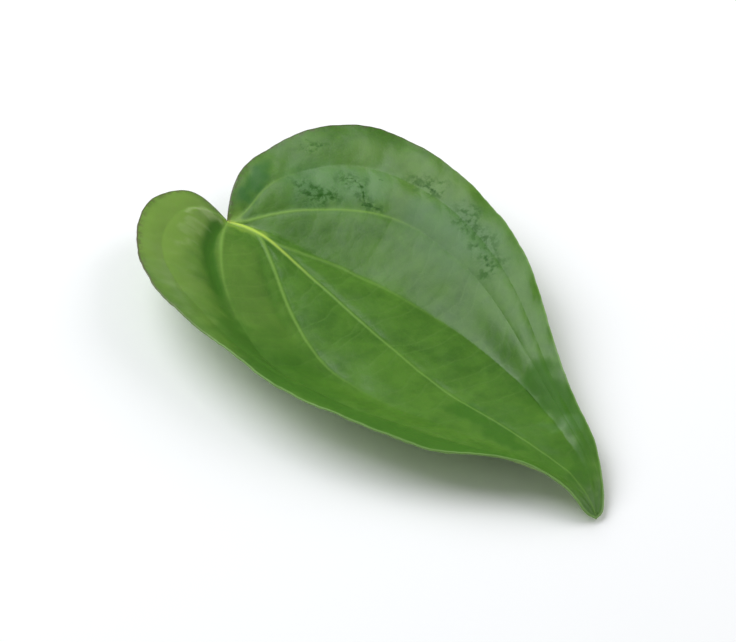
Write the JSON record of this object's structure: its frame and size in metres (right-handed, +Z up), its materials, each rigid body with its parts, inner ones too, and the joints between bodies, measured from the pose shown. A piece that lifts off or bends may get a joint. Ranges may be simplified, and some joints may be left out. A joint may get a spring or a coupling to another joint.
{
  "type": "betel leaf",
  "caption": "Single heart-shaped betel leaf lying face up: cupped blade, curved veins raised below, drip tip and nipped stalk.",
  "frame": {"origin": "middle of the leaf's plan box, on the surface that it lies on", "axes": "+X runs along the leaf from the stalk to the drip tip, +Y to the wider half, +Z up out of the leaf's upper face"},
  "size_m": [0.1318, 0.0788, 0.0155],
  "materials": {
    "leaf": "waxy satin green"
  },
  "bodies": {
    "root": {"betel_leaf": "leaf"}
  },
  "joints": []
}
